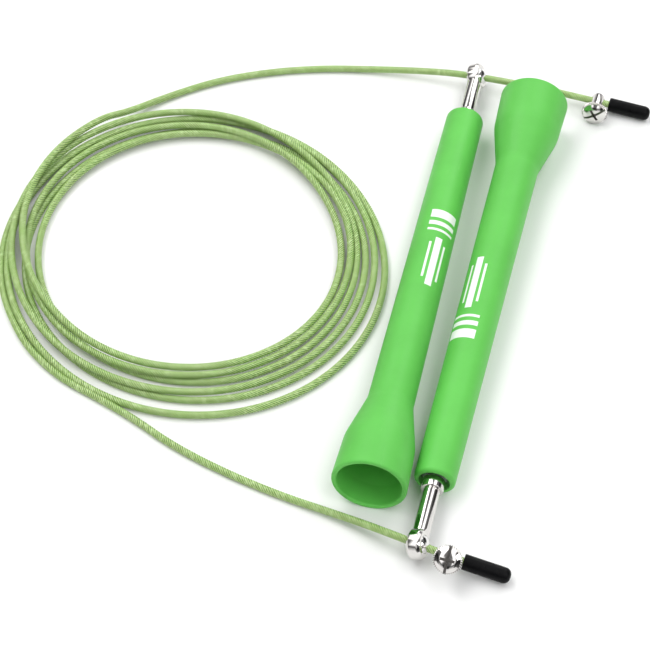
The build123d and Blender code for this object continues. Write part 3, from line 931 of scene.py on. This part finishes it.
def ball_profile(radius, bore):
    """Half outline of a ball, in millimetres, with a bore through it unless that is nothing."""
    start = math.asin(bore / radius)
    angles = np.linspace(start, math.pi - start, 41)
    outline = [(radius * math.sin(angle), -radius * math.cos(angle)) for angle in angles]
    if not bore:
        outline[0], outline[-1] = (0, -radius), (0, radius)
        return outline
    edge = outline[-1][1]
    inner = [(bore, edge * step / 4) for step in (3, 1.5, 0, -1.5, -3)]
    return outline + inner


class ROPE_OT_clamps(bpy.types.Operator):
    """Make the cable clamps: cross-bored barrels and knurled screws with slotted, domed heads"""

    bl_idname = "rope.clamps"
    bl_label = "Clamps"

    def execute(self, context):
        look = context.scene.rope_fittings
        plate = plate_metal(context.scene)
        # Dark metal for the slot and cross: its dark colour is painted shade in the recess.
        shadowed = metal("painted_shade_slot", (0.20, 0.19, 0.18), 0.30, 0.45, scratches=0.01 * MM)
        for tag in SIDES:
            matrix = clamp_place(tag)
            hole = lathe_mesh([(0, -3), (CABLE_HOLE, -3), (CABLE_HOLE, 3), (0, 3)], 48)
            hole.transform(Matrix.Rotation(math.pi / 2, 4, "Y"))
            body = combine(lathe_mesh(outline_points(BARREL_OUTLINE, 6), 72), [hole])
            body = finish_mesh(f"clamp_body_{tag}", body, matrix, f"clamp_{tag}", plate, 35)
            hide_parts(f"clamp_barrel_{tag}")
            slots = [box_mesh(size, (0, 0, middle), Matrix.Rotation(math.radians(degrees), 4, "Z"))
                     for size, middle, degrees in SCREW_SLOTS]
            turned = lathe_mesh(outline_points(SCREW_OUTLINE, 6), look.teeth * 8,
                                shape=lambda radius, along, angle: knurled(radius, angle, look.teeth))
            turned = combine(turned, slots)
            turn = Matrix.Rotation(SCREW_TURN[tag], 4, "Z")
            turned.transform(turn)
            screw = finish_mesh(f"clamp_head_{tag}", turned, matrix, f"screw_{tag}", plate, 35)
            screw.data.materials.append(shadowed)
            darken_slots(screw, matrix @ turn)
            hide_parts(f"clamp_screw_{tag}")
        return {"FINISHED"}


def knurled(radius, angle, teeth):
    """Radius of a clamp screw's rim with its teeth, in millimetres."""
    if radius < KNURL_ROOT:
        return radius
    wave = abs(math.sin(angle * teeth / 2))
    return radius - KNURL_DEPTH * (1 - wave) * min(1, (radius - KNURL_ROOT) / KNURL_RISE)


def darken_slots(screw, matrix):
    """Give the dark metal, painted shade, to the faces of a screw that lie in its slot and cross."""
    home = matrix.inverted()
    for face in screw.data.polygons:
        x, y, z = (abs(place) for place in home @ face.center / MM)
        in_cross = x < SLOT_HALF_WIDTH and y < CROSS_HALF_LENGTH
        in_slot = y < SLOT_HALF_WIDTH or in_cross or x + y < MIDDLE_REACH
        if in_slot and SLOT_FLOOR < z < DOME_TOP - DOME_FALL * (x * x + y * y):
            face.material_index = 1


class ROPE_OT_caps(bpy.types.Operator):
    """Mould the soft black caps over the cable's cut ends"""

    bl_idname = "rope.caps"
    bl_label = "End caps"

    def execute(self, context):
        rubber = black_rubber(context.scene.rope_fittings)
        outside = outline_points(CAP_OUTLINE, 10)
        profile = outside[:0:-1] + list(CAP_HOLE_OUTLINE)
        for tag in SIDES:
            matrix = place(cap_start(tag), JOINTS[f"cap_slide_{tag}"]["axis"], (0, 0, 1))
            mesh = lathe_mesh(profile, 72, shape=uneven_cap)
            cap = finish_mesh(f"cap_{tag}", mesh, matrix, f"cap_{tag}", rubber, 50)
            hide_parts(f"end_cap_{tag}")
        return {"FINISHED"}


def uneven_cap(radius, along, angle):
    """Radius of an end cap, which is pressed a little out of round on its outside."""
    if radius < CAP_SKIN:
        return radius
    return radius - CAP_UNEVEN * math.cos(2 * angle + 0.5) * math.sin(along * 0.35)


class ROPE_OT_bearings(bpy.types.Operator):
    """Finish the ball bearings, washers and nuts inside the handles"""

    bl_idname = "rope.bearings"
    bl_label = "Bearings"

    def execute(self, context):
        ground = metal("ground_race_steel", (0.62, 0.62, 0.63), 0.16, 0.30, scratches=0.004 * MM)
        pressed = metal("pressed_shield_steel", (0.42, 0.42, 0.43), 0.25, 0.42, scratches=0.01 * MM)
        polished = bpy.data.materials["polished_ball"]
        plate = plate_metal(context.scene)
        nylon = moulded_nylon()
        finishes = {
            "bearing_outer_race": ground,
            "bearing_inner_race": ground,
            "bearing_balls": polished,
            "bearing_cage": nylon,
            "bearing_front_shield": pressed,
            "bearing_back_shield": pressed,
            "washer": plate,
            "nut": plate,
        }
        for tag in SIDES:
            for kind, material in finishes.items():
                for holder in frame["nodes"][f"{kind}_{tag}"].material_slots:
                    holder.material = material
        return {"FINISHED"}


class ROPE_OT_stage(bpy.types.Operator):
    """Set the floor, the soft lights and the camera"""

    bl_idname = "rope.stage"
    bl_label = "Stage"

    def execute(self, context):
        look = context.scene.rope_stage
        scene = context.scene
        work = bmesh.new()
        bmesh.ops.create_grid(work, x_segments=2, y_segments=2, size=look.floor_size / 2)
        mesh = bpy.data.meshes.new("floor")
        work.to_mesh(mesh)
        work.free()
        mesh.materials.append(floor_paper(look))
        floor = bpy.data.objects.new("floor", mesh)
        floor.location = (0, 0, -FLOOR_DROP * MM)
        scene.collection.objects.link(floor)
        camera = bpy.data.cameras.new("camera")
        camera.lens = look.lens
        camera.sensor_width = 36
        holder = bpy.data.objects.new("camera", camera)
        scene.collection.objects.link(holder)
        eye = Vector(CAMERA_EYE) * MM
        holder.location = eye
        holder.rotation_euler = look_along(Vector(CAMERA_AIM) * MM - eye)
        camera.clip_start = 0.01
        camera.clip_end = 20
        scene.camera = holder
        for name, spot, size, power, colour in LIGHTS:
            data = bpy.data.lights.new(name, "AREA")
            data.energy = power
            data.size = size
            data.color = colour
            light = bpy.data.objects.new(name, data)
            light.location = spot
            light.rotation_euler = look_along(Vector(LIGHT_AIM) - Vector(spot))
            scene.collection.objects.link(light)
        scene.world = soft_room()
        scene.view_settings.view_transform = "Standard"
        return {"FINISHED"}


def look_along(direction):
    """Rotation of a camera or a light that faces along a direction."""
    return direction.to_track_quat("-Z", "Y").to_euler()


def soft_room():
    """World with strip lights overhead and dark walls, so the metal has contrast."""
    world = bpy.data.worlds.new("soft_room")
    world.use_nodes = True
    tree = world.node_tree
    background = tree.nodes["Background"]
    where = tree.nodes.new("ShaderNodeTexCoord")
    split = tree.nodes.new("ShaderNodeSeparateXYZ")
    tree.links.new(where.outputs["Generated"], split.inputs[0])
    ramp = tree.nodes.new("ShaderNodeValToRGB")
    stops = ramp.color_ramp.elements
    stops = [*stops, *(stops.new(0.5) for _ in range(len(ROOM_GREYS) - len(stops)))]
    for stop, (position, grey) in zip(stops, ROOM_GREYS):
        stop.position = position
        stop.color = (grey, grey, grey * ROOM_BLUE, 1)
    tree.links.new(split.outputs["Z"], ramp.inputs["Fac"])
    wave = make_node(tree, "ShaderNodeTexWave", Scale=STRIP_SCALE, Distortion=0.0, Phase_Offset=STRIP_PHASE)
    tree.links.new(where.outputs["Generated"], wave.inputs["Vector"])
    strips = spread(tree, wave.outputs["Fac"], STRIP_DIM, STRIP_BRIGHT, *STRIP_EDGE)
    glow = tree.nodes.new("ShaderNodeMath")
    glow.operation = "MULTIPLY"
    tree.links.new(strips, glow.inputs[0])
    tree.links.new(ramp.outputs["Color"], glow.inputs[1])
    tree.links.new(glow.outputs[0], background.inputs["Color"])
    return world


# ------------------------------------------------------------------ panel and registration
BUILD_STEPS = ("handles", "stems", "clamps", "caps", "bearings", "cable", "stage")


class ROPE_PT_build(bpy.types.Panel):
    """Sizes, colours and build steps of the jump rope"""

    bl_idname = "ROPE_PT_build"
    bl_label = "Jump Rope"
    bl_space_type = "VIEW_3D"
    bl_region_type = "UI"
    bl_category = "Jump Rope"

    def draw(self, context):
        for step in BUILD_STEPS:
            self.layout.operator(f"rope.{step}")
        for _, holder in GROUPS:
            group = getattr(context.scene, holder)
            box = self.layout.box()
            for name in group.__annotations__:
                box.prop(group, name)


GROUPS = (
    (HandleLook, "rope_handles"),
    (CableLook, "rope_cable"),
    (FittingLook, "rope_fittings"),
    (StageLook, "rope_stage"),
)
OPERATORS = (ROPE_OT_handles, ROPE_OT_stems, ROPE_OT_clamps, ROPE_OT_caps, ROPE_OT_bearings,
             ROPE_OT_cable, ROPE_OT_stage)


def register():
    for group, holder in GROUPS:
        bpy.utils.register_class(group)
        setattr(bpy.types.Scene, holder, bpy.props.PointerProperty(type=group))
    for operator in OPERATORS:
        bpy.utils.register_class(operator)
    bpy.utils.register_class(ROPE_PT_build)


def unregister():
    bpy.utils.unregister_class(ROPE_PT_build)
    for operator in reversed(OPERATORS):
        bpy.utils.unregister_class(operator)
    for group, holder in reversed(GROUPS):
        delattr(bpy.types.Scene, holder)
        bpy.utils.unregister_class(group)


def main():
    register()
    for step in BUILD_STEPS:
        getattr(bpy.ops.rope, step)()


if __name__ == "__main__":
    main()
